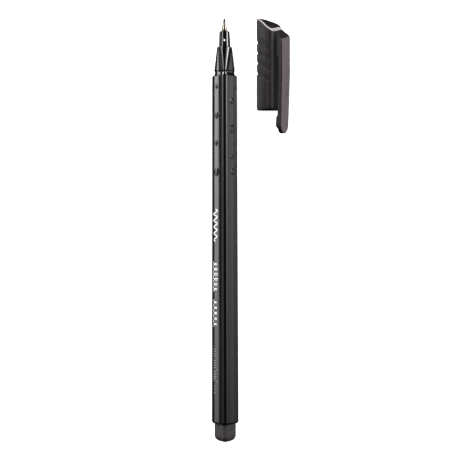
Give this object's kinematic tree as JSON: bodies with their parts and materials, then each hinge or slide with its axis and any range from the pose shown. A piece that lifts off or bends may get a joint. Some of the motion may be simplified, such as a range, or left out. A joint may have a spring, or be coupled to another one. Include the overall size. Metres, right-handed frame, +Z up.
{
  "type": "technical pen",
  "caption": "Fine-line technical pen with a fibre nib in a metal cone, a rounded-triangular barrel and a clip cap lying off beside it, for drawing and drafting.",
  "frame": {"origin": "On the flat of the barrel that the pen lies on, straight under the pen's axis at the middle of its uncapped length", "axes": "+Y along the pen towards its nib, +Z up through the barrel's upper ridge, +X towards the cap that lies beside it"},
  "size_m": [0.0281, 0.1505, 0.0094],
  "materials": {
    "barrel_plastic": "polished black injection moulding",
    "satin_plastic": "satin black injection moulding",
    "ferrule_metal": "polished nickel plate",
    "nib_fibre": "ink-stained porous fibre",
    "carrier_plastic": "plain white moulding",
    "reservoir_fibre": "ink-soaked fibre bundle",
    "film_plastic": "thin clear wrap"
  },
  "bodies": {
    "pen": {"barrel": "barrel_plastic", "nose_section": "barrel_plastic", "rear_plug": "satin_plastic", "tip_ferrule": "ferrule_metal", "fibre_nib": "nib_fibre", "tip_carrier": "carrier_plastic", "ink_reservoir": "reservoir_fibre", "reservoir_film": "film_plastic"},
    "cap": {"cap_shell": "satin_plastic", "cap_core": "satin_plastic"},
    "clip": {"cap_clip": "satin_plastic"}
  },
  "joints": [
    {"name": "cap_slide", "type": "slide", "parent": "pen", "child": "cap", "axis": [0, 1, 0], "range_m": [0, 0.042]},
    {"name": "clip_flex", "type": "hinge", "parent": "cap", "child": "clip", "pos_m": [0.02116, 0.0605, 0.00644], "axis": [-0.5, 0, 0.866], "range_deg": [0, 4], "stiffness_Nm_per_rad": 0.3}
  ]
}
